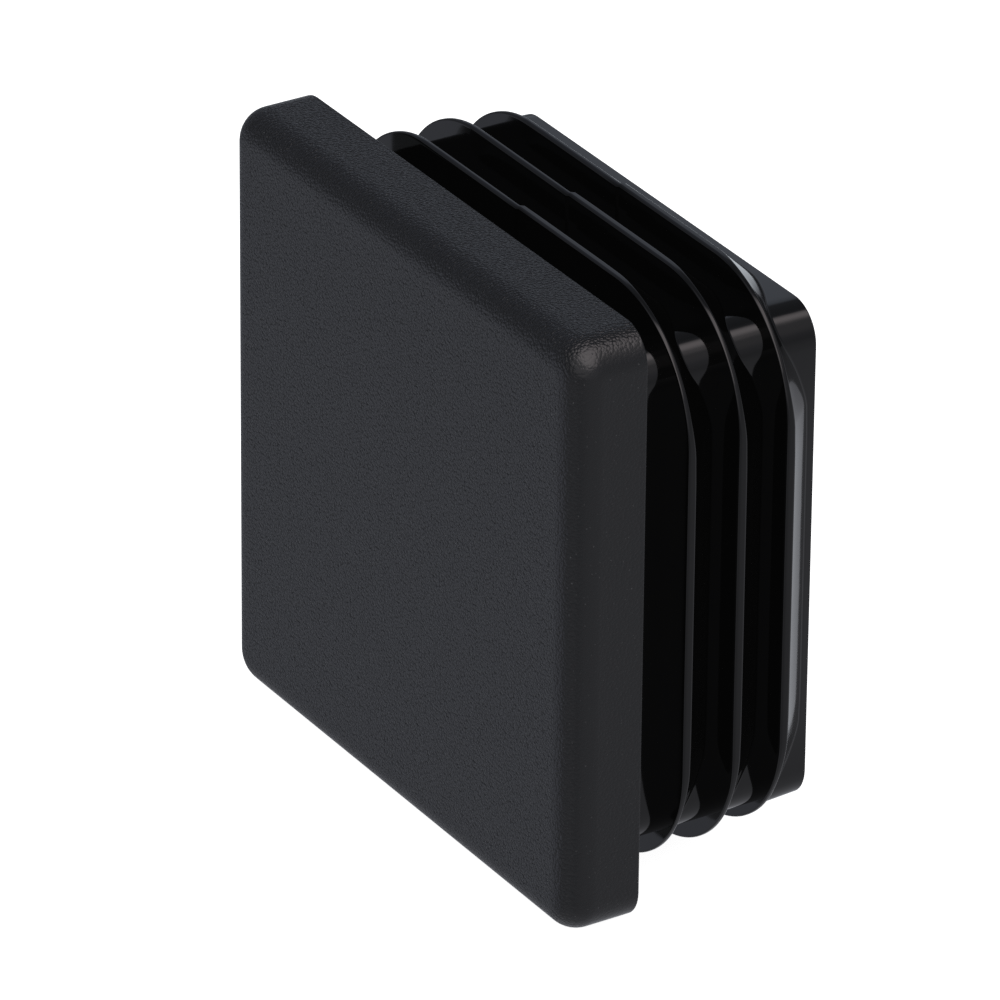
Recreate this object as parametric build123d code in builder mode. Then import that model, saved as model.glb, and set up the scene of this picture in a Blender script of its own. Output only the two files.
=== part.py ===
from build123d import *
from math import radians, tan
import os

os.makedirs("parts", exist_ok=True)

# Square ribbed end cap for the end of a 50 x 50 mm tube, moulded in one piece.
# Frame: Y runs along the tube, the head looks towards -Y and the plug goes in towards +Y.
# The origin is the middle of the seat, where the back of the head meets the end of the tube.

# Head, the plate that covers the end of the tube and is as wide as the tube's outside
head_size = 50.0
head_thickness = 6.4
head_corner_radius = 2.9
head_edge_radius = 2.5
head_back_bevel = 0.2

# Plug, the hollow square that goes inside the tube
seat_width = 4.0  # the ledge round the plug, half of which stops against the end of the tube
plug_corner_radius = 3.0
plug_end_band = 0.72  # plain band between the foot of the last rib and the open end
plug_end_bevel = 0.2

# Ribs, bands round the plug that are steep towards the head and slope towards the open end
rib_count = 3
rib_height = 3.1
last_rib_height = 2.75  # the rib that goes in first is lower
rib_corner_radius = 10.7
rib_land = 0.68
rib_slope = 45.0
rib_front_bevel = 0.15
rib_back_radius = 0.3
first_rib = 4.35
rib_valley = 0.72  # flat strip of the plug between the foot of one rib and the next

# The two side slides of the mould meet in the middle of the top and bottom, a hair apart
slide_step = 0.16

# Hollow, open at the end of the plug
wall = 2.0
face_wall = 3.0
hollow_corner_radius = 1.6
hollow_floor_radius = 0.6
hollow_draft = 1.0
mouth_bevel = 0.3

# Hidden lengths: how far the plug starts inside the head, how far the slopes reach into the
# plug's wall, and how far the plug runs on before it is trimmed to length
head_bite = 1.5
slope_bite = 0.5
run_out = 1.0

# Sizes that follow
plug_size = head_size - 2 * seat_width
rib_heights = [rib_height] * (rib_count - 1) + [last_rib_height]
rib_pitch = rib_land + rib_height / tan(radians(rib_slope)) + rib_valley
rib_fronts = [first_rib + place * rib_pitch for place in range(rib_count)]
last_foot = rib_fronts[-1] + rib_land + last_rib_height / tan(radians(rib_slope))
plug_length = last_foot + plug_end_band
hollow_size = plug_size - 2 * wall
floor_place = face_wall - head_thickness

# Every outline is drawn square to the tube, on a plane that looks towards the open end
seat = Plane(origin=(0, 0, 0), x_dir=(1, 0, 0), z_dir=(0, 1, 0))

# One slide's side of the plug: the square body with its ribs, cut off at the middle
with BuildPart() as right_plug:
    for front, height in zip(rib_fronts, rib_heights):
        rib_size = plug_size + 2 * height
        back = front + rib_land
        # the land is the flat band at the top of the rib, the part that grips the tube
        with BuildSketch(seat.offset(front)):
            RectangleRounded(rib_size, rib_size, rib_corner_radius)
        extrude(amount=rib_land)
        # the slope runs down from the land into the body, so that the cap pushes in easily
        with BuildSketch(seat.offset(back)):
            RectangleRounded(rib_size, rib_size, rib_corner_radius)
        extrude(amount=(height + slope_bite) / tan(radians(rib_slope)), taper=rib_slope)
        # the land is rounded into the slope, and its steep edge is just taken off
        fillet(right_plug.edges().filter_by_position(Axis.Y, back, back), rib_back_radius)
        chamfer(right_plug.edges().filter_by_position(Axis.Y, front, front), rib_front_bevel)
    # the body starts inside the head and runs on past the open end, where it is trimmed later
    with BuildSketch(seat.offset(-head_bite)):
        RectangleRounded(plug_size, plug_size, plug_corner_radius)
    extrude(amount=head_bite + plug_length + run_out)
    split(bisect_by=Plane.YZ, keep=Keep.TOP)

# The other slide's side is the same the other way round, and sits a hair nearer to the head
left_plug = mirror(right_plug.part, about=Plane.YZ).moved(Location((0, -slide_step, 0)))

# The hollow, a little narrower towards its floor so that the mould's core draws out
with BuildPart() as hollow:
    with BuildSketch(seat.offset(plug_length)):
        RectangleRounded(hollow_size, hollow_size, hollow_corner_radius)
    extrude(amount=floor_place - plug_length, taper=hollow_draft)
    fillet(hollow.edges().group_by(Axis.Y)[0], hollow_floor_radius)

with BuildPart() as end_cap:
    # the head, with its long soft edges towards the front
    with BuildSketch(seat):
        RectangleRounded(head_size, head_size, head_corner_radius)
    extrude(amount=-head_thickness)
    fillet(end_cap.edges().group_by(Axis.Y)[0], head_edge_radius)
    chamfer(end_cap.edges().group_by(Axis.Y)[-1], head_back_bevel)
    # the two sides of the plug, trimmed square at the open end
    add(right_plug.part)
    add(left_plug)
    with BuildSketch(seat.offset(plug_length)):
        Rectangle(head_size, head_size)
    extrude(amount=2 * run_out, mode=Mode.SUBTRACT)
    add(hollow.part, mode=Mode.SUBTRACT)
    # the edges of the open end are taken off outside and inside
    chamfer(end_cap.faces().sort_by(Axis.Y)[-1].outer_wire().edges(), plug_end_bevel)
    chamfer(end_cap.faces().sort_by(Axis.Y)[-1].inner_wires()[0].edges(), mouth_bevel)

end_cap.part.label = "end_cap"
export_step(end_cap.part, "parts/end_cap.step")
print("plug", plug_size, "square and", round(plug_length, 2), "long; ribs every", round(rib_pitch, 2))
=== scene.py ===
# %% [markdown]
# # A ribbed end cap for a square tube
# The cap is one piece of black plastic, moulded in one go. A thick square head covers the
# sawn end of a 50 mm tube, and a hollow square plug with three sloped ribs goes inside it
# and holds on by squeezing. This lesson loads the engineering model, which fixes where
# everything is, and then builds the surface that is worth looking at around it.
# Blender works in metres, and the tables of sizes are in millimetres. Y runs along the
# tube and Z is up.

# %% Load the engineering model
import bmesh
import bpy
import math
from mathutils import Matrix, Vector


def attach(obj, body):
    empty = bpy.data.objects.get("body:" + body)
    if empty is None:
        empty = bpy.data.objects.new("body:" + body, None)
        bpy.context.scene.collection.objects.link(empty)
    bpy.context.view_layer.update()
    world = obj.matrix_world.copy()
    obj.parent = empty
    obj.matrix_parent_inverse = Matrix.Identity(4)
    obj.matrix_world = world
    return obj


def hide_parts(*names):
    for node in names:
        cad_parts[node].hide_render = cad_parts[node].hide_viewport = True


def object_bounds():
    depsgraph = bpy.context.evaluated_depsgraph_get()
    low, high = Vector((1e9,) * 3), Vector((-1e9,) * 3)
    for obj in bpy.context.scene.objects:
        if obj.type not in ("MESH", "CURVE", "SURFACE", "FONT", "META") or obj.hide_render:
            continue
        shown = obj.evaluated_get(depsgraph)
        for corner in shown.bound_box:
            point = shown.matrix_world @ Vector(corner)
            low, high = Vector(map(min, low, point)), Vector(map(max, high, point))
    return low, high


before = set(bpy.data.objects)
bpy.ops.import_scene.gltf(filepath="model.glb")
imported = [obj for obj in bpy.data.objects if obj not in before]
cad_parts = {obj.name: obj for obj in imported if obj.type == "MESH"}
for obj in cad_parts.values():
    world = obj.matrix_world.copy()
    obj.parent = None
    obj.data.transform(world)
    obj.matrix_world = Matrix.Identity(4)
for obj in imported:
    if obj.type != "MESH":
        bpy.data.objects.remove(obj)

cad_box = [list(corner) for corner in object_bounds()]
MM = 0.001
print("engineering box in mm", [[round(v / MM, 2) for v in corner] for corner in cad_box])

# %% [markdown]
# ## The sizes
# A moulder's drawing gives a cap like this as a handful of lengths, and the model asks for
# the same ones, in millimetres. The surface must stay where the engineering model is, so
# the outside sizes are compared with its box straight away. The small rounds are as
# important as the big sizes here: on black plastic nearly all that the eye gets is the
# thin line of light along each edge, and the radius of the round sets its width.
#
# `half` is half the side of a square and `corner` is the radius of its corners. `edge`,
# `back`, `end`, `front`, `foot`, `round` and `mouth` are the radii of small rounds. A slope
# and a draft are angles in degrees.

# %% Sizes in millimetres
HEAD = dict(half=25.0, thick=6.4, corner=2.9, edge=2.5, back=0.06)
PLUG = dict(half=21.0, corner=3.0, length=17.5, end=0.08, low=0.33, band=21.2, rim=21.1)
RIB = dict(count=3, height=3.1, last=2.75, corner=10.7, slope=43.4, sag=0.05,
           first=4.35, pitch=4.5, front=0.28, back=0.22, foot=0.4)
LAND = dict(top=0.60, side=0.68, left=0.48, corner=0.36)    # width of a rib's top
FULL = dict(right=1.0, left=1.25, corner=0.45)    # how full the round on a rib's front is
FADE = dict(middle=6.95, width=0.95)    # where a rib narrows, along it from its corner
HOLLOW = dict(half=19.0, corner=1.6, floor=-3.4, draft=1.0, round=0.6, mouth=0.3)
SLIDE_STEP = 0.16    # how far the left half of the ribs sits nearer to the head
SEAM = 0.25          # width of the strip in which the two halves meet

low, high = (Vector(corner) / MM for corner in cad_box)
print("off the engineering box in mm: head", round(abs(high.x - HEAD["half"]), 4),
      round(abs(low.y + HEAD["thick"]), 4), "| plug", round(abs(high.y - PLUG["length"]), 4))

# %% [markdown]
# ## The surface as one woven net
# The cap follows a simple rule: every slice square to the tube is a square with rounded
# corners. Only the size of the square and the radius of its corners change from the
# front of the head to the floor of the hollow. One could cut and join solids, but each
# join leaves slivers that catch the light badly. A net is cleaner. Its rows are slices,
# its columns run along the cap, over the ribs, round the open end and back down inside,
# and all of it is one closed skin of four-sided faces.
#
# Two small tables feed the net. The first is the outline that every slice follows: rays
# that leave an inner square and fan out at its four corners, close together where a
# tight corner needs them. The corners of that square are the middles of the arcs round
# the ribs' corners, so the rays cross those arcs squarely. The outline starts and ends at
# the top middle. There, and at the bottom, the left half comes only within a quarter of
# a millimetre of the right half, because the two halves of the mould meet in that strip
# and the surface steps.

# %% Table one: the rays of the outline
CORE = PLUG["half"] + RIB["height"] - RIB["corner"]    # half of the inner square
FLAT_STEPS = 6
FAN = [(0, 29, 9), (29, 36, 4), (36, 54, 16), (54, 61, 4), (61, 90, 9)]    # from, to, steps


def corner_angles():
    """Angles in degrees across one corner, closest where the head's corner turns."""
    return [a + (b - a) * i / n for a, b, n in FAN for i in range(n)] + [90.0]


def outline_rays():
    """(start, direction, side) of each ray, clockwise from the top middle seen from the head."""
    flat = [CORE * i / FLAT_STEPS for i in range(FLAT_STEPS)]
    quarter = [((x, CORE), (0.0, 1.0)) for x in flat]
    for a in corner_angles():
        t = math.radians(a)
        quarter.append(((CORE, CORE), (math.sin(t), math.cos(t))))
    quarter += [((CORE, z), (1.0, 0.0)) for z in reversed(flat)]
    right = quarter + [((x, -z), (dx, -dz)) for (x, z), (dx, dz) in reversed(quarter[:-1])]
    left = [((min(-x, -SEAM), z), (-dx, dz)) for (x, z), (dx, dz) in reversed(right)]
    return [(s, d, 0) for s, d in right] + [(s, d, 1) for s, d in left]


def land_and_round(start, direction, side):
    """How wide the top of a rib is along this ray, and how full its front round is."""
    across, upright = abs(direction[0]), abs(direction[1])
    turned = math.atan2(min(across, upright), max(across, upright))
    into_flat = CORE - min(abs(start[0]), abs(start[1]))
    from_corner = RIB["corner"] * (math.pi / 4 - turned) + into_flat
    corner = 1.0 / (1.0 + math.exp((from_corner - FADE["middle"]) / FADE["width"]))
    flat = LAND["left"] if side else LAND["top"] if upright > across else LAND["side"]
    full = FULL["left"] if side else FULL["right"]
    return flat + (LAND["corner"] - flat) * corner, full + (FULL["corner"] - full) * corner


rays = outline_rays()
rays.append(rays[0])
lands = [land_and_round(*ray) for ray in rays]
print("rays in the outline", len(rays),
      "| rib tops from", round(min(lands)[0], 2), "to", round(max(lands)[0], 2), "mm wide")

# %% [markdown]
# The second table is the section: one row for each slice. A row says how far out the
# slice is, how round its corners are and where it lies along Y. Two more numbers follow
# in some rows: how much of its full size the slice has, since the two end faces shrink to
# their middles, and whether it is lowered with the plug. Rounds are written as arcs of
# several rows. A short extra row on each side of a round keeps the flat beside it flat
# when the shading is made smooth.
#
# The ribs repeat, so their rows are written only once, counted from the rib's steep side.
# A rib row is measured from the body of the plug or from the top of the rib, and the rows
# at the foot of the slope find their own place along Y, because the slope runs out
# sooner on the plug's corners than on its flats.

# %% Steps and extra rows
FACE_SHARES = (0.0, 0.2, 0.4, 0.6, 0.8, 1.0)    # from the middle of an end face to its edge
WALL_SHARES = (0.04, 0.25, 0.5, 0.75, 0.95)     # down the wall of the hollow
SLOPE_SHARES = (0.86, 0.72, 0.58, 0.44, 0.3, 0.16)    # down the slope of a rib
STEPS = dict(edge=12, back=4, rim=3, mouth=5, floor=6, front=7, ridge=6, foot=6)    # in a round
BESIDE = dict(face=0.15, edge=0.1, seat=0.4, root=0.1, rim=0.03, wall=0.08, top=0.02, slope=0.05)


def arc(steps):
    """Pairs (1 - cos, sin) for a quarter round, from 0 to 90 degrees."""
    angles = [math.pi / 2 * i / steps for i in range(steps + 1)]
    return [(1 - math.cos(t), math.sin(t)) for t in angles]


print("steps in each round", STEPS)

# %% [markdown]
# The head's rows start at the middle of its face, where a slice has shrunk to a point.
# They go out to the big front round, along the side, round the small back edge and in
# again over the seat to the root of the plug. The grain ends just inside the back edge.

# %% Table two, first part: the head
def head_rows():
    """From the middle of the face to the plug's root, and how many rows have the grain."""
    h, r = HEAD, HEAD["edge"]
    face = (h["half"] - r - BESIDE["face"], h["corner"] - r, -h["thick"])
    rows = [(*face, share) for share in FACE_SHARES]
    for c, s in arc(STEPS["edge"]):
        out = r * (1 - s)
        rows.append((h["half"] - out, h["corner"] - out, -h["thick"] + r * c))
    rows.append((h["half"], h["corner"], -h["thick"] + r + BESIDE["edge"]))
    rows.append((h["half"], h["corner"], -h["back"] - BESIDE["edge"]))
    for c, s in arc(STEPS["back"]):
        rows.append((h["half"] - h["back"] * c, h["corner"] - h["back"] * c, h["back"] * (s - 1)))
    grained = len(rows)
    rows.append((h["half"] - BESIDE["seat"], h["corner"], 0.0))
    root = BESIDE["root"]
    rows.append((PLUG["half"] + root, PLUG["corner"] + root, 0.0, 1.0, 1.0))
    rows += [(PLUG["half"], PLUG["corner"], along, 1.0, 1.0) for along in (0.0, root)]
    return rows, grained


head_table, grained_rows = head_rows()
print("rows of the head", len(head_table), "of which grained", grained_rows)

# %% [markdown]
# The last rows go round the rim of the plug into the hollow, down its wall and over its
# floor to the middle. The wall leans in by the draft, so that the mould's core comes out.

# %% Table two, last part: the open end and the hollow
def end_rows():
    """From the rim to the middle of the hollow's floor, and how many rows come before it."""
    p, h = PLUG, HOLLOW
    rows = [(p["rim"], p["corner"], p["length"] - p["end"] - BESIDE["rim"])]
    for c, s in arc(STEPS["rim"]):
        rows.append((p["rim"] - p["end"] * c, p["corner"] - p["end"] * c,
                     p["length"] - p["end"] * (1 - s)))
    wall = BESIDE["wall"]
    rows.append((p["rim"] - p["end"] - wall, p["corner"] - p["end"], p["length"]))
    rows.append((h["half"] + h["mouth"] + wall, h["corner"] + h["mouth"], p["length"]))
    inside = len(rows)
    for c, s in arc(STEPS["mouth"]):
        out = h["mouth"] * (1 - s)
        rows.append((h["half"] + out, h["corner"] + out, p["length"] - h["mouth"] * c))
    draft = math.tan(math.radians(h["draft"]))
    for share in WALL_SHARES:
        depth = (p["length"] - h["floor"] - h["round"]) * share
        rows.append((h["half"] - depth * draft, h["corner"] - depth * draft, p["length"] - depth))
    inset = (p["length"] - h["floor"]) * draft
    for c, s in arc(STEPS["floor"]):
        cut = inset + h["round"] * c
        rows.append((h["half"] - cut, h["corner"] - cut, h["floor"] + h["round"] * (1 - s)))
    floor = (h["half"] - inset - h["round"] - wall, h["corner"] - inset - h["round"], h["floor"])
    rows += [(*floor, share) for share in reversed(FACE_SHARES)]
    return rows, inside


end_table, rim_rows = end_rows()
print("rows of the open end", len(end_table), "of which before the hollow", rim_rows)

# %% [markdown]
# A rib's rows go up its steep side, round its front, over its top and down its slope to
# the round at the foot. Each says whether it is measured from the top of the rib (1) or
# from the body of the plug (0), how far out and along from there, and which part of the
# rib it belongs to. Rows on the slope also say how high up the slope they lie.

# %% Table two, middle part: one rib
def rib_rows():
    """Rows of one rib: (on the rib, out, along, part), and on the slope also a share of it."""
    r, wall, beside = RIB, BESIDE["wall"], BESIDE["slope"]
    rows = [(0, 0.0, -wall, "root"), (0, 0.0, 0.0, "root"), (1, -r["front"] - wall, 0.0, "front")]
    rows += [(1, -r["front"] * (1 - s), r["front"] * c, "front") for c, s in arc(STEPS["front"])]

    turn = math.radians(90 - r["slope"])
    trim = r["back"] * math.tan(turn / 2)
    rows.append((1, 0.0, -trim - BESIDE["top"], "back"))
    for i in range(STEPS["ridge"] + 1):
        t = turn * i / STEPS["ridge"]
        rows.append((1, -r["back"] * (1 - math.cos(t)), r["back"] * math.sin(t) - trim, "back"))
    _, out, along, _ = rows[-1]
    rows.append((1, out - beside * math.tan(turn), along + beside, "back"))

    slope = math.radians(r["slope"])
    start, reach_out = r["foot"] * (1 - math.cos(slope)), r["foot"] * math.tan(slope / 2)
    rows += [(0, start, 0.0, "foot", share) for share in SLOPE_SHARES]
    for i in range(STEPS["foot"] + 1):
        t = slope * (STEPS["foot"] - i) / STEPS["foot"]
        out = r["foot"] * (1 - math.cos(t))
        rows.append((0, out, reach_out - r["foot"] * math.sin(t) + out / math.tan(slope), "foot"))
    rows.append((0, 0.0, reach_out + beside, "foot"))
    return rows


rib_table = rib_rows()
print("rows of a rib", len(rib_table))

# %% [markdown]
# ## Writing node sums as sums
# Geometry Nodes will weave the net. A long formula made of single Math nodes is hard to
# read, so a small wrapper lets ordinary Python sums build the nodes. Each operation
# below adds one Math node to the tree and passes its output on.

# %% A wrapper for the output of a node
def operation(kind):
    """A method that puts one Math node of this kind behind a field."""
    return lambda self, *others: self.put(kind, *others)


class Field:
    """One number for each point, as the output of a node."""

    def __init__(self, tree, socket):
        self.tree, self.socket = tree, socket

    def put(self, kind, *others):
        """A Math node that takes this field and other fields or numbers."""
        node = self.tree.nodes.new("ShaderNodeMath")
        node.operation = kind
        for place, value in enumerate((self, *others)):
            if isinstance(value, Field):
                self.tree.links.new(value.socket, node.inputs[place])
            else:
                node.inputs[place].default_value = value
        return Field(self.tree, node.outputs[0])

    __add__ = __radd__ = operation("ADD")
    __sub__ = operation("SUBTRACT")
    __mul__ = operation("MULTIPLY")
    __truediv__ = operation("DIVIDE")
    above = operation("GREATER_THAN")
    least = operation("MINIMUM")
    most = operation("MAXIMUM")
    whole = operation("FLOOR")
    size = operation("ABSOLUTE")
    root = operation("SQRT")
    tangent = operation("TANGENT")

    def __rsub__(self, other):
        return self * -1.0 + other

    def reached(self):
        """1 where this whole number is zero or more, and 0 elsewhere."""
        return self.above(-0.5)

    def choose(self, when_one, when_zero):
        """One of two values, where this field is 1 or 0."""
        return when_zero + (when_one - when_zero) * self


print("operations ready", [name for name in vars(Field) if not name.startswith("_")])

# %% [markdown]
# The tables reach the tree as small helper meshes with one point for each line. A number
# that a point's position cannot hold goes into a named attribute. They are removed once
# the net is woven.

# %% Tables as helper meshes
def table_object(name, places, **columns):
    """A mesh of loose points whose positions and attributes hold a table."""
    mesh = bpy.data.meshes.new(name)
    mesh.from_pydata(places, [], [])
    for column, values in columns.items():
        mesh.attributes.new(column, "FLOAT", "POINT").data.foreach_set("value", values)
    thing = bpy.data.objects.new(name, mesh)
    bpy.context.collection.objects.link(thing)
    return thing


def slice_table(name, rows):
    """Half size, corner and place along Y as the position, then the share and the lowering."""
    return table_object(name, [row[:3] for row in rows],
                        shrink=[row[3] if len(row) > 3 else 1.0 for row in rows],
                        lowered=[row[4] if len(row) > 4 else 0.0 for row in rows])


tables = {
    "Rays": table_object("rays", [(s[0], 0, s[1]) for s, d, side in rays],
                         ray_x=[d[0] for s, d, side in rays],
                         ray_z=[d[1] for s, d, side in rays],
                         land=[land for land, full in lands],
                         full=[full for land, full in lands],
                         side=[float(side) for s, d, side in rays]),
    "Head Rows": slice_table("head_rows", head_table),
    "End Rows": slice_table("end_rows", end_table),
    "Rib Rows": table_object("rib_rows", [(row[1], row[2], 0) for row in rib_table],
                             on_rib=[float(row[0]) for row in rib_table],
                             share=[row[4] if len(row) > 4 else 0.0 for row in rib_table],
                             **{part: [float(row[3] == part) for row in rib_table]
                                for part in ("front", "back", "foot")}),
}
print("tables", {name: len(thing.data.vertices) for name, thing in tables.items()})

# %% [markdown]
# ## The plastic
# The whole cap is one black plastic, but the mould gives it three finishes. The head was
# moulded against etched steel and has a fine grain like emery paper, a quarter of a
# millimetre from crest to crest, with a deeper pit here and there whose bottom is painted
# lighter as a painted glint. Its two upright sides were etched less deeply, so that the part
# slides off them. The plug was moulded against polished steel and is almost a mirror, a
# little wavy where the plastic shrank. The hollow was moulded round a plain steel core, so
# it is duller, with faint lines along the way that the core was pulled out.
#
# Black plastic has hardly any colour of its own: what is seen is the studio, mirrored
# weakly face on and strongly at a glancing angle. The grain could be a picture of bumps,
# but a pattern of Voronoi cells has no seams and no limit of resolution. The distance
# from the middle of a cell, squared and turned over, is the height of a small dome, and
# Bump nodes in a row add the layers to each other.

# %% Helpers for materials
REFRACTION = 1.45    # refractive index of the plastic


def plastic(name, colour, roughness):
    """A material with one Principled shader, and the shader itself."""
    material = bpy.data.materials.new(name)
    material.use_nodes = True
    shader = material.node_tree.nodes["Principled BSDF"]
    shader.inputs["Base Color"].default_value = (*colour, 1.0)
    shader.inputs["Roughness"].default_value = roughness
    shader.inputs["IOR"].default_value = REFRACTION
    return material, shader


def add(material, kind, **settings):
    """A node in the material with some of its settings or input values changed."""
    node = material.node_tree.nodes.new(kind)
    for name, value in settings.items():
        if hasattr(node, name):
            setattr(node, name, value)
        else:
            node.inputs[name.replace("_", " ")].default_value = value
    return node


print("refractive index", REFRACTION)

# %% [markdown]
# The grain needs three layers, each with a size, as cells in one metre, and a depth in
# metres: the domes, a finer unevenness on them, and the pits. On the upright sides the
# first two get shallower. A pit's bottom and edge are distances from its middle in cells.
# The bottoms of the pits are painted lighter as painted glints, which come in patches.

# %% The grained finish of the head
BLACK = (0.0048, 0.0050, 0.0056)
# painted glint: the colour added at the bottom of a pit, standing in for the highlight its facets
# catch
GLINT_PAINT = (0.060, 0.060, 0.063)    # what the bottom of a pit adds to it
GRAIN = dict(domes=(4300.0, 0.000083), fine=(6000.0, 0.000022), pits=(1900.0, 0.00003))
ETCHED = dict(full=0.0222, light=0.0247, share=0.16)    # from the middle, in metres
PIT = dict(bottom=0.02, edge=0.16)
# patches in which the painted glints show
GLINT_PATCH = dict(scale=90.0, low=0.45, high=0.62, least=0.15)


def grained_plastic():
    """Etched finish of the head: domes, a finer unevenness, deep pits and painted glints."""
    material, shader = plastic("grained_black_plastic", BLACK, 0.23)
    link = material.node_tree.links.new
    where = add(material, "ShaderNodeTexCoord").outputs["Object"]

    # the two upright sides were etched less deeply than the rest
    split = add(material, "ShaderNodeSeparateXYZ")
    link(where, split.inputs[0])
    sideways = add(material, "ShaderNodeMath", operation="ABSOLUTE")
    link(split.outputs["X"], sideways.inputs[0])
    etched = add(material, "ShaderNodeMapRange", interpolation_type="SMOOTHSTEP",
                 From_Min=ETCHED["full"], From_Max=ETCHED["light"],
                 To_Min=1.0, To_Max=ETCHED["share"])
    link(sideways.outputs[0], etched.inputs["Value"])

    def layer(kind, output, size, under=None, invert=False, graded=True, **settings):
        """A texture, and the bump that will press it into the surface."""
        scale, depth = size
        texture = add(material, kind, Scale=scale, **settings)
        bump = add(material, "ShaderNodeBump", invert=invert, Strength=1.0, Distance=depth)
        link(where, texture.inputs["Vector"])
        if graded:
            link(etched.outputs[0], bump.inputs["Strength"])
        if under:
            link(under.outputs["Normal"], bump.inputs["Normal"])
        return texture.outputs[output], bump

    height, domes = layer("ShaderNodeTexVoronoi", "Distance", GRAIN["domes"],
                          invert=True, feature="F1")
    square = add(material, "ShaderNodeMath", operation="MULTIPLY")
    link(height, square.inputs[0])
    link(height, square.inputs[1])
    link(square.outputs[0], domes.inputs["Height"])

    height, fine = layer("ShaderNodeTexNoise", "Fac", GRAIN["fine"], domes,
                         Detail=2.0, Roughness=0.5)
    link(height, fine.inputs["Height"])

    height, pits = layer("ShaderNodeTexVoronoi", "Distance", GRAIN["pits"], fine,
                         graded=False, feature="F1")
    pit = add(material, "ShaderNodeMapRange", interpolation_type="SMOOTHSTEP",
              From_Min=PIT["bottom"], From_Max=PIT["edge"])
    link(height, pit.inputs["Value"])
    link(pit.outputs[0], pits.inputs["Height"])
    link(pits.outputs["Normal"], shader.inputs["Normal"])

    # painted glints: the bottom of a pit is painted lighter, each one by a different amount, and in
    # patches
    bottom = add(material, "ShaderNodeMapRange", From_Min=1.0, From_Max=0.0)
    link(pit.outputs[0], bottom.inputs["Value"])
    patches = add(material, "ShaderNodeTexNoise", Scale=GLINT_PATCH["scale"], Detail=1.0)
    link(where, patches.inputs["Vector"])
    patch = add(material, "ShaderNodeMapRange", From_Min=GLINT_PATCH["low"], From_Max=GLINT_PATCH["high"],
                To_Min=GLINT_PATCH["least"], To_Max=1.0)
    link(patches.outputs["Fac"], patch.inputs["Value"])
    # painted glint at the bottoms of the pits, varied per pit and by patch
    painted_glint = bottom.outputs[0]
    for share in (height.node.outputs["Color"], patch.outputs[0]):
        times = add(material, "ShaderNodeMath", operation="MULTIPLY")
        link(painted_glint, times.inputs[0])
        link(share, times.inputs[1])
        painted_glint = times.outputs[0]
    tint = add(material, "ShaderNodeVectorMath", operation="MULTIPLY_ADD")
    tint.inputs[1].default_value = GLINT_PAINT
    tint.inputs[2].default_value = shader.inputs["Base Color"].default_value[:3]
    link(painted_glint, tint.inputs[0])
    link(tint.outputs["Vector"], shader.inputs["Base Color"])
    return material


plastics = {"Head Plastic": grained_plastic()}
print("nodes in the grained finish", len(plastics["Head Plastic"].node_tree.nodes))

# %% [markdown]
# The other two finishes are one noise texture each. On the plug it is a slow wave, and a
# faint glow stands for the little light that the polished plastic scatters. In the hollow
# the same texture is stretched along Y, which turns it into lines.

# %% The finishes of the plug and the hollow
WAVES = dict(scale=(260.0, 260.0, 260.0), depth=0.00001)    # in one metre, and metres
DRAWN_LINES = dict(scale=(4000.0, 120.0, 4000.0), depth=0.000012)
PLUG_GLOW = 0.0011
DULL_BLACK = (0.0100, 0.0102, 0.0108)


def uneven(material, shader, scale, depth):
    """Presses a noise of this scale along X, Y and Z into a material."""
    link = material.node_tree.links.new
    where = add(material, "ShaderNodeTexCoord")
    stretch = add(material, "ShaderNodeMapping", Scale=scale)
    noise = add(material, "ShaderNodeTexNoise", Scale=1.0, Detail=2.0, Roughness=0.5)
    bump = add(material, "ShaderNodeBump", Strength=1.0, Distance=depth)
    link(where.outputs["Object"], stretch.inputs["Vector"])
    link(stretch.outputs["Vector"], noise.inputs["Vector"])
    link(noise.outputs["Fac"], bump.inputs["Height"])
    link(bump.outputs["Normal"], shader.inputs["Normal"])
    return material


def smooth_plastic():
    """Polished finish of the plug."""
    material, shader = plastic("smooth_black_plastic", (0.0, 0.0, 0.0), 0.08)
    shader.inputs["Emission Color"].default_value = (1.0, 1.0, 1.0, 1.0)
    shader.inputs["Emission Strength"].default_value = PLUG_GLOW
    return uneven(material, shader, **WAVES)


def core_plastic():
    """Duller finish of the hollow, with faint lines along the way the core was pulled out."""
    material, shader = plastic("core_black_plastic", DULL_BLACK, 0.38)
    return uneven(material, shader, **DRAWN_LINES)


plastics["Plug Plastic"] = smooth_plastic()
plastics["Core Plastic"] = core_plastic()
print("finishes", [material.name for material in plastics.values()])

# %% [markdown]
# ## Weaving the net
# A grid with one point for each row and ray is the loom. The tree below moves every grid
# point to its place. The rows of a rib are used again for each rib, a pitch further on,
# with the last rib lower than the others. On the left half the ribs slide towards the head
# by a hair. Points that land on each other, at the closing ray and at the two middles, are
# merged, and the tree ends with Realize Instances and one Set Material for each finish.
#
# The loom below holds the tree while it is built. It adds nodes, links what feeds them, and
# reads a table at a line number with a Sample Index node.

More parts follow.
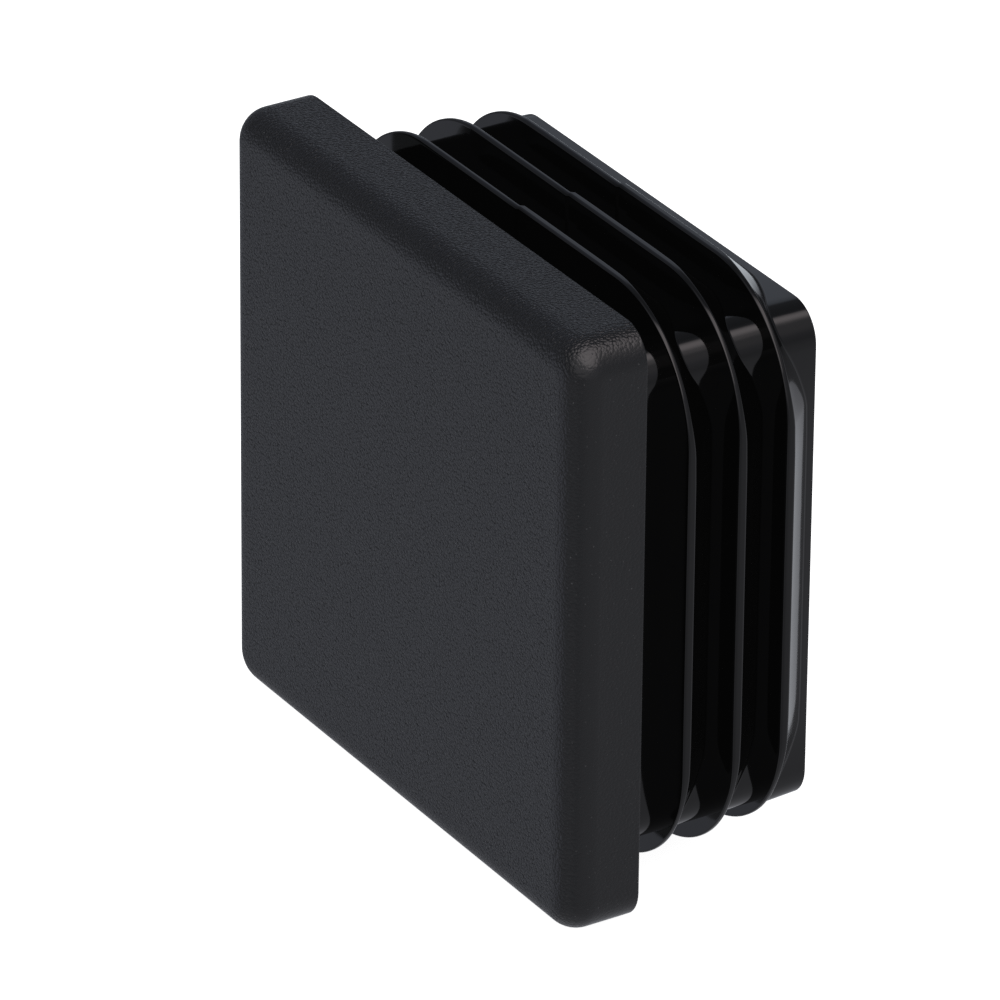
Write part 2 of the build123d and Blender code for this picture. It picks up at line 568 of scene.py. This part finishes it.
# %% The loom: a tree with named inputs
class Loom:
    """The weaving tree while it is built: its sizes as fields and its tables to read."""

    def __init__(self, name, sizes, materials):
        self.tree = bpy.data.node_groups.new(name, "GeometryNodeTree")
        for table in tables:
            self.new_input(table, "NodeSocketObject")
        for size, value in sizes.items():
            self.new_input(size, "NodeSocketFloat").default_value = value
        for material in materials:
            self.new_input(material, "NodeSocketMaterial")
        self.tree.interface.new_socket("Geometry", in_out="OUTPUT",
                                       socket_type="NodeSocketGeometry")
        self.inputs = self.node("NodeGroupInput").outputs
        self.size = {size: self.field(self.inputs[size]) for size in sizes}

    def new_input(self, name, kind):
        return self.tree.interface.new_socket(name, in_out="INPUT", socket_type=kind)

    def field(self, socket):
        return Field(self.tree, socket)

    def node(self, kind, settings=(), **sources):
        """A new node with these settings, its inputs fed by fields or sockets."""
        node = self.tree.nodes.new(kind)
        for name, value in dict(settings).items():
            setattr(node, name, value)
        for name, source in sources.items():
            socket = source.socket if isinstance(source, Field) else source
            self.tree.links.new(socket, node.inputs[name.replace("_", " ")])
        return node

    def attribute(self, name):
        """The numbers that are kept on the points under a name."""
        node = self.node("GeometryNodeInputNamedAttribute", dict(data_type="FLOAT"))
        node.inputs["Name"].default_value = name
        return self.field(node.outputs[0])

    def sample(self, table, line, kind, values):
        """One value for each point, from a line of a table."""
        info = self.node("GeometryNodeObjectInfo", Object=self.inputs[table])
        return self.node("GeometryNodeSampleIndex", dict(clamp=True, data_type=kind),
                         Geometry=info.outputs["Geometry"], Value=values, Index=line).outputs[0]

    def read(self, table, line, *columns):
        """Some columns of a table at a line, or the three numbers of its position."""
        if columns:
            return [self.field(self.sample(table, line, "FLOAT", self.attribute(column)))
                    for column in columns]
        position = self.node("GeometryNodeInputPosition").outputs[0]
        found = self.sample(table, line, "FLOAT_VECTOR", position)
        split = self.node("ShaderNodeSeparateXYZ", Vector=found)
        return [self.field(part) for part in split.outputs]


print("tables to read", list(tables))

# %% [markdown]
# How far a slice reaches along a ray is the one real formula: the straight side of the
# rounded square, or the arc of its corner where the ray passes it. With it, a slice of the
# head or of the open end only needs its row.

# %% Slices of the head and the open end
def reach(loom, ray, half, corner):
    """How far along a ray a rounded square of this half size and corner lies."""
    core, across, upright = loom.size["Core"], ray["ray_x"].size(), ray["ray_z"].size()
    offset = half - corner - core
    long, short = across.most(upright), across.least(upright)
    straight = (half - core) / long
    square = corner * corner - offset * offset * (across - upright) * (across - upright)
    arc_reach = offset * (across + upright) + square.most(0.0).root()
    return (straight * short).above(offset.most(0.0)).choose(arc_reach, straight)


def plain_slice(loom, ray, row, past_ribs):
    """Reach, place along Y and share of its full size of a slice outside the ribs."""
    in_end = past_ribs.reached()
    end_row = loom.read("End Rows", past_ribs) + loom.read("End Rows", past_ribs, "shrink")
    head_row = loom.read("Head Rows", row) + loom.read("Head Rows", row, "shrink")
    half, corner, along, shrink = (in_end.choose(end, head)
                                   for end, head in zip(end_row, head_row))
    return reach(loom, ray, half, corner), along, shrink


print("slices ready for rows of the head and the open end")

# %% [markdown]
# A slice of a rib starts from the top of the rib or from the body of the plug. Its front is
# rounded more or less on each ray. On the slope the reach lies between the top and the
# body, and its place along Y follows from how far the slope has already come down. The
# slope is a little hollow: the sag is a parabola, deepest halfway.

# %% Slices of the ribs
def rib_slice(loom, ray, rib, line):
    """Reach and place along Y of a slice of a rib."""
    size = loom.size
    out, along, _ = loom.read("Rib Rows", line)
    on_rib, front, back, foot, share = loom.read("Rib Rows", line, "on_rib", "front", "back",
                                                 "foot", "share")
    last = (rib - (size["Rib Count"] - 1.0)).reached()
    height = last.choose(size["Last Rib Height"], size["Rib Height"])
    fullness = front.choose(ray["full"], 1.0)
    out, along = out * fullness, along * fullness
    body = size["Plug Half"] + last * foot * (size["Band Half"] - size["Plug Half"])
    corner = on_rib.choose(size["Rib Corner"], size["Plug Corner"]) + out

    # how high the slope still is on this ray, and how far it has run
    own = reach(loom, ray, body + on_rib * height + out, corner)
    top = reach(loom, ray, size["Plug Half"] + height, size["Rib Corner"])
    now = share.choose(top, own)
    sag = share * (1.0 - share) * 4.0 * size["Rib Sag"]
    run = ray["land"] + (top - now) / size["Rib Slope"].tangent() - sag
    start = size["First Rib"] + rib * size["Rib Pitch"]
    return now, start + along + back * ray["land"] + foot * run - ray["side"] * size["Slide Step"]


print("slices ready for", RIB["count"], "ribs of", len(rib_table), "rows")

# %% [markdown]
# Now every grid point can find out which ray, row and rib it belongs to, and then its
# place. Rows and ribs are counted in whole numbers, so half a number is a safe margin.

# %% Every point to its place
def places(loom):
    """The row of each grid point, and its position in metres."""
    size = loom.size
    index = loom.field(loom.node("GeometryNodeInputIndex").outputs[0])
    row = (index / size["Rays Count"]).whole()
    past_head = row - size["Head Count"]
    past_ribs = past_head - size["Rib Count"] * size["Rib Lines"]
    on_ribs = past_head.reached() - past_ribs.reached()
    rib = (past_head / size["Rib Lines"]).whole().most(0.0).least(size["Rib Count"] - 1.0)

    line = index - row * size["Rays Count"]
    columns = ("ray_x", "ray_z", "side", "land", "full")
    ray = dict(zip(columns, loom.read("Rays", line, *columns)))
    start_x, _, start_z = loom.read("Rays", line)

    rib_reach, rib_along = rib_slice(loom, ray, rib, past_head - rib * size["Rib Lines"])
    plain_reach, plain_along, shrink = plain_slice(loom, ray, row, past_ribs)
    distance = on_ribs.choose(rib_reach, plain_reach)
    drawn_in = on_ribs.choose(1.0, shrink) * MM
    lowered = past_head.reached().most(*loom.read("Head Rows", row, "lowered"))
    place = loom.node(
        "ShaderNodeCombineXYZ",
        X=(start_x + ray["ray_x"] * distance) * drawn_in,
        Y=on_ribs.choose(rib_along, plain_along) * MM,
        Z=(start_z + ray["ray_z"] * distance) * drawn_in - lowered * size["Plug Low"] * MM,
    )
    return row, place.outputs[0]


print("places ready for", len(rays), "rays")

# %% [markdown]
# The last part builds the grid, keeps each point's row for later, moves and merges the
# points and turns the faces outwards. Edges that turn by more than 30 degrees stay sharp,
# the others are smooth. The plug's finish goes everywhere first, then the head's and the
# hollow's go on their own rows.

# %% The weaving tree
MERGE = 0.002    # points closer than this many millimetres become one
SHARP = 30       # degrees


def weaving_tree(sizes, materials):
    """The whole cap from its tables: grid, move, merge, materials."""
    loom = Loom("Woven Cap", sizes, materials)
    size = loom.size
    row, place = places(loom)
    rows = size["Head Count"] + size["Rib Count"] * size["Rib Lines"] + size["End Count"]
    grid = loom.node("GeometryNodeMeshGrid", Vertices_X=rows, Vertices_Y=size["Rays Count"])
    kept = loom.node("GeometryNodeStoreNamedAttribute", Geometry=grid.outputs["Mesh"], Value=row)
    kept.inputs["Name"].default_value = "row"
    moved = loom.node("GeometryNodeSetPosition", Geometry=kept.outputs[0], Position=place)
    merged = loom.node("GeometryNodeMergeByDistance", Geometry=moved.outputs[0])
    merged.inputs["Distance"].default_value = MERGE * MM
    outward = loom.node("GeometryNodeFlipFaces", Mesh=merged.outputs[0])

    smooth = loom.node("GeometryNodeSetShadeSmooth", Geometry=outward.outputs[0])
    angle = loom.field(loom.node("GeometryNodeInputMeshEdgeAngle").outputs["Unsigned Angle"])
    crease = loom.node("GeometryNodeSetShadeSmooth", dict(domain="EDGE"),
                       Geometry=smooth.outputs[0], Selection=angle.above(math.radians(SHARP)))
    crease.inputs["Shade Smooth"].default_value = False
    realized = loom.node("GeometryNodeRealizeInstances", Geometry=crease.outputs[0])

    stored = loom.attribute("row")
    on_head = size["Grain Rows"].above(stored)
    in_hollow = stored.above(rows - size["End Count"] + size["Rim Rows"])
    plug = loom.node("GeometryNodeSetMaterial", Geometry=realized.outputs[0],
                     Material=loom.inputs["Plug Plastic"])
    head = loom.node("GeometryNodeSetMaterial", Geometry=plug.outputs[0], Selection=on_head,
                     Material=loom.inputs["Head Plastic"])
    core = loom.node("GeometryNodeSetMaterial", Geometry=head.outputs[0], Selection=in_hollow,
                     Material=loom.inputs["Core Plastic"])
    loom.node("NodeGroupOutput", Geometry=core.outputs[0])
    return loom.tree


sizes = {
    "Core": CORE, "Plug Half": PLUG["half"], "Plug Corner": PLUG["corner"],
    "Plug Low": PLUG["low"], "Band Half": PLUG["band"],
    "Rib Height": RIB["height"], "Last Rib Height": RIB["last"], "Rib Corner": RIB["corner"],
    "Rib Slope": math.radians(RIB["slope"]), "Rib Sag": RIB["sag"],
    "First Rib": RIB["first"], "Rib Pitch": RIB["pitch"], "Slide Step": SLIDE_STEP,
}
counts = {
    "Rays Count": len(rays), "Head Count": len(head_table), "Rib Count": RIB["count"],
    "Rib Lines": len(rib_table), "End Count": len(end_table),
    "Grain Rows": grained_rows, "Rim Rows": rim_rows,
}
sizes.update((name, float(count)) for name, count in counts.items())
tree = weaving_tree(sizes, plastics)
print("nodes in the tree", len(tree.nodes))

# %% [markdown]
# The tree runs as a modifier on an empty mesh. Each input is set by the identifier of its
# socket, since two sockets could share a name. The result is turned into a plain mesh,
# and the modifier and the tables go away. A closed skin has a volume and no open edges,
# which is a quick test of the weaving.

# %% Weave the cap
def weave(name, tree, values):
    """Runs a tree on a new object and returns the result as a plain mesh object."""
    thing = bpy.data.objects.new(name, bpy.data.meshes.new(name))
    bpy.context.collection.objects.link(thing)
    modifier = thing.modifiers.new("Weave", "NODES")
    modifier.node_group = tree
    for socket in tree.interface.items_tree:
        if socket.in_out == "INPUT" and socket.name in values:
            modifier[socket.identifier] = values[socket.name]
    graph = bpy.context.evaluated_depsgraph_get()
    woven = bpy.data.meshes.new_from_object(thing.evaluated_get(graph), depsgraph=graph)
    thing.modifiers.clear()
    thing.data = woven
    thing.data.name = name
    return thing


def measure(mesh):
    """Volume in cubic millimetres and the number of edges that are not closed."""
    shell = bmesh.new()
    shell.from_mesh(mesh)
    volume = shell.calc_volume(signed=True) / MM ** 3
    open_edges = sum(not edge.is_manifold for edge in shell.edges)
    shell.free()
    return round(volume), open_edges


cap = weave("end_cap_surface", tree, {**tables, **sizes, **plastics})
for thing in tables.values():
    bpy.data.objects.remove(thing)
mesh = cap.data
mesh.attributes.remove(mesh.attributes["row"])
if mesh.materials[0] is None:    # the slot that the grid's faces had before they were painted
    mesh.materials.pop(index=0)
for place, material in enumerate(mesh.materials):
    print(material.name, "on", sum(face.material_index == place for face in mesh.polygons), "faces")
print("points", len(mesh.vertices), "| volume and open edges", measure(mesh))

# %% [markdown]
# ## The camera
# The cap is shown from a little above, with the face turned to the left and the ribs to
# the right. A long lens from far away keeps parallel edges nearly parallel, as in most
# catalogue pictures. The camera is placed by three angles and a distance, because that is
# how one walks round an object: how far round, how far up, how far the camera leans.

# %% Camera
VIEW = dict(azimuth=57.941, elevation=27.713, roll=0.546)    # degrees
FOCUS = (-1.903, 4.167, -1.933)    # the point that the lens looks at, in millimetres
DISTANCE = 730.93                  # of the lens from that point, in millimetres
FOCAL_LENGTH = 343.085             # in millimetres, like the width of the sensor
SENSOR = 36.0


def aim(azimuth, elevation, roll):
    """Axes of a camera that looks at the cap from this azimuth and elevation."""
    a, e, r = map(math.radians, (azimuth, elevation, roll))
    back = Vector((math.sin(a) * math.cos(e), -math.cos(a) * math.cos(e), math.sin(e)))
    right = (-back).cross(Vector((0, 0, 1))).normalized()
    up = right.cross(-back)
    turned = right * math.cos(r) + up * math.sin(r)
    return turned, up * math.cos(r) - right * math.sin(r), back


lens = bpy.data.cameras.new("camera")
lens.sensor_width = SENSOR
lens.lens = FOCAL_LENGTH
lens.clip_start = 0.05
lens.clip_end = 20.0
camera = bpy.data.objects.new("camera", lens)
bpy.context.collection.objects.link(camera)
bpy.context.scene.camera = camera
right, up, back = aim(**VIEW)
spot = Vector(FOCUS) * MM + back * DISTANCE * MM
camera.matrix_world = Matrix.Translation(spot) @ Matrix((right, up, back)).transposed().to_4x4()
print("camera at, in metres", [round(v, 4) for v in spot])

# %% [markdown]
# ## The studio
# Black plastic is drawn by what it mirrors, so the studio matters more here than the
# colour of the plastic. A product photographer hangs a tent of white paper round the
# object and cuts openings in it: a bright window overhead, white cards where an edge
# should shine, and nothing where it should stay dark. The dome does the same. It has a
# dim base, three rectangular windows above and a number of round soft cards, and each has
# the faint tint of the paper or lamp that it stands for.
#
# Only reflections see the cards. For everything else the dome is plain white, which
# gives the even, almost shadowless light of a tent and a clean white background. A
# reflection of a reflection that escapes upwards is dimmed, since in the narrow valleys
# between the ribs a real tent has the dark room above the opening there. The automatic
# noise removal stays off: it would take the grain for noise and wipe it away.

# %% Windows and cards
def direction(azimuth, elevation):
    """Unit vector: azimuth from +X towards +Y, elevation above the horizon, in degrees."""
    a, e = math.radians(azimuth), math.radians(elevation)
    return Vector((math.cos(a) * math.cos(e), math.sin(a) * math.cos(e), math.sin(e)))


BASE = (0.160, 0.168, 0.191)
HORIZON = (0.05, 0.15)    # windows fade in between these heights of a direction
WINDOWS = [  # along X and along Y as (gone, full, full, gone), colour
    ((0.03, 0.27, 0.30, 0.62), (-0.60, -0.52, 0.71, 0.79), (1.26, 1.13, 1.14)),
    ((0.05, 0.15, 0.50, 1.30), (-0.60, -0.52, 0.71, 0.79), (0.49, 0.44, 0.44)),
    ((0.30, 0.60, 2.20, 3.00), (-1.20, -0.80, 0.48, 0.66), (1.70, 1.54, 1.55)),
]
CARDS = [  # azimuth, elevation, full, gone, colour
    (45, -62, 45, 88, (0.255, 0.252, 0.263)),
    (-78, -27, 14, 30, (0.150, 0.149, 0.155)),
    (-163, -30, 12, 15, (0.125, 0.133, 0.148)),
    (138, -27, 6, 24, (0.170, 0.184, 0.190)),
    (145, -22, 8, 22, (0.300, 0.327, 0.349)),
    (144, 25, 10, 20, (0.250, 0.278, 0.329)),
    (-123, -19, 12, 28.5, (0.400, 0.413, 0.492)),
    (-22, 45, 47, 66, (0.284, 0.277, 0.303)),
    (-45, 32, 28, 46, (0.367, 0.354, 0.346)),
    (-177, 41, 18, 30, (0.070, 0.079, 0.112)),
    (45, 42, 12, 30, (0.140, 0.126, 0.115)),
    (56, -27, 8, 22, (0.100, 0.100, 0.108)),
    (-141, 13, 6, 20, (0.070, 0.073, 0.084)),
]
print("windows", len(WINDOWS), "| cards", len(CARDS))

# %% [markdown]
# The dome is one long sum in the world's shader. Each window and each card makes a mask
# that is 1 where it is full and 0 where it is gone, and the mask times its colour is
# added to the sum so far. A window is a rectangle in a plane above the cap, so a
# direction is first divided by its height.

# %% The dome's painter
class Sky:
    """Adds tinted shapes of light to the dome, one after another."""

    def __init__(self, world):
        self.nodes, self.link = world.node_tree.nodes, world.node_tree.links.new
        self.where = self.nodes.new("ShaderNodeTexCoord").outputs["Generated"]
        split = self.nodes.new("ShaderNodeSeparateXYZ")
        self.link(self.where, split.inputs[0])
        self.along = {axis: split.outputs[axis] for axis in "XYZ"}
        self.height = self.along["Z"]
        self.total = None

    def smooth_step(self, value, start, stop):
        """A mask that rises from 0 to 1 between two values, without corners."""
        ramp = self.nodes.new("ShaderNodeMapRange")
        ramp.interpolation_type = "SMOOTHSTEP"
        ramp.inputs["From Min"].default_value = start
        ramp.inputs["From Max"].default_value = stop
        self.link(value, ramp.inputs["Value"])
        return ramp.outputs[0]

    def calculate(self, operation, first, second):
        """One Math node with two sockets or numbers."""
        node = self.nodes.new("ShaderNodeMath")
        node.operation = operation
        for place, value in enumerate((first, second)):
            if isinstance(value, (int, float)):
                node.inputs[place].default_value = value
            else:
                self.link(value, node.inputs[place])
        return node.outputs[0]

    def card(self, azimuth, elevation, full, gone, colour):
        """A round soft card: full inside one angle and gone outside another."""
        dot = self.nodes.new("ShaderNodeVectorMath")
        dot.operation = "DOT_PRODUCT"
        dot.inputs[1].default_value = direction(azimuth, elevation)
        self.link(self.where, dot.inputs[0])
        edge, inside = math.cos(math.radians(gone)), math.cos(math.radians(full))
        self.add(self.smooth_step(dot.outputs["Value"], edge, inside), colour)

    def window(self, x, y, colour):
        """A rectangular opening overhead, given where it lies at a height of one."""
        height = self.calculate("MAXIMUM", self.height, 0.001)    # never divides by zero
        mask = self.smooth_step(self.height, *HORIZON)
        for axis, edges in (("X", x), ("Y", y)):
            place = self.calculate("DIVIDE", self.along[axis], height)
            for gone, full in ((edges[0], edges[1]), (edges[3], edges[2])):
                mask = self.calculate("MULTIPLY", mask, self.smooth_step(place, gone, full))
        self.add(mask, colour)

    def add(self, mask, colour):
        """Adds a mask times a colour to the light so far."""
        node = self.nodes.new("ShaderNodeVectorMath")
        node.operation = "MULTIPLY_ADD"
        node.inputs[1].default_value = colour
        self.link(mask, node.inputs[0])
        if self.total is None:
            node.inputs[2].default_value = BASE
        else:
            self.link(self.total, node.inputs[2])
        self.total = node.outputs["Vector"]


print("painter ready", [name for name in vars(Sky) if not name.startswith("_")])

# %% [markdown]
# A Light Path node mixes two backgrounds: glossy rays see the painted dome, and all other
# rays see white. It also counts a ray's reflections, which tells the second ones apart.

# %% The studio
SECOND_REFLECTION = 2.5    # a ray depth between one reflection and the next
DIMMED = 0.65              # the share of the light that such a ray loses


def background(world, colour, strength=None):
    """A background shader whose colour is fixed or comes from a socket."""
    shader = world.node_tree.nodes.new("ShaderNodeBackground")
    if strength:
        world.node_tree.links.new(strength, shader.inputs["Strength"])
    if isinstance(colour, tuple):
        shader.inputs["Color"].default_value = (*colour, 1.0)
    else:
        world.node_tree.links.new(colour, shader.inputs["Color"])
    return shader.outputs[0]


def studio_dome():
    """White for all rays but reflections, which see the base, the windows and the cards."""
    world = bpy.data.worlds.new("studio")
    world.use_nodes = True
    world.cycles.sampling_method = "NONE"
    sky = Sky(world)
    for window in WINDOWS:
        sky.window(*window)
    for card in CARDS:
        sky.card(*card)
    mix = sky.nodes.new("ShaderNodeMixShader")
    light_path = sky.nodes.new("ShaderNodeLightPath")
    sky.link(light_path.outputs["Is Glossy Ray"], mix.inputs["Fac"])
    sky.link(background(world, (1.0, 1.0, 1.0)), mix.inputs[1])
    second = sky.calculate("GREATER_THAN", light_path.outputs["Ray Depth"], SECOND_REFLECTION)
    upward = sky.calculate("GREATER_THAN", sky.height, 0.0)
    both = sky.calculate("MULTIPLY", second, upward)
    strength = sky.calculate("SUBTRACT", 1.0, sky.calculate("MULTIPLY", both, DIMMED))
    sky.link(background(world, sky.total, strength), mix.inputs[2])
    sky.link(mix.outputs[0], sky.nodes["World Output"].inputs["Surface"])
    return world


scene = bpy.context.scene
scene.world = studio_dome()
scene.view_settings.view_transform = "Standard"
scene.cycles.use_denoising = False
print("nodes in the studio", len(scene.world.node_tree.nodes))

# %% [markdown]
# ## The floor
# A sheet of white paper. In a tent the paper glows as much as it is lit, and that
# washes the shadow under the cap out. Reflections skip it, because the dome already
# holds what the cap mirrors from below.

# %% Floor
FLOOR_HALF = 3.0     # metres
PAPER = 0.50         # how much light the paper sends back
PAPER_GLOW = 0.92


def pale_floor():
    """Dull white paper that glows."""
    material = bpy.data.materials.new("pale_floor")
    material.use_nodes = True
    shader = material.node_tree.nodes["Principled BSDF"]
    shader.inputs["Base Color"].default_value = (PAPER, PAPER, PAPER, 1.0)
    shader.inputs["Roughness"].default_value = 1.0
    shader.inputs["Specular IOR Level"].default_value = 0.0
    shader.inputs["Emission Color"].default_value = (1.0, 1.0, 1.0, 1.0)
    shader.inputs["Emission Strength"].default_value = PAPER_GLOW
    return material


ground = bpy.data.meshes.new("floor")
corners = [(x * FLOOR_HALF, y * FLOOR_HALF, low.z * MM)
           for x, y in ((-1, -1), (1, -1), (1, 1), (-1, 1))]
ground.from_pydata(corners, [], [(0, 1, 2, 3)])
ground.materials.append(pale_floor())
floor = bpy.data.objects.new("floor", ground)
bpy.context.collection.objects.link(floor)
floor.visible_glossy = False
print("floor at", round(low.z, 2), "mm")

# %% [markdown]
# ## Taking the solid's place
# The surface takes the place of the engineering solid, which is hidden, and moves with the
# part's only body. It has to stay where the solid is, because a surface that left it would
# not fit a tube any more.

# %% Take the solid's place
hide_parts("end_cap")
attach(cap, "root")
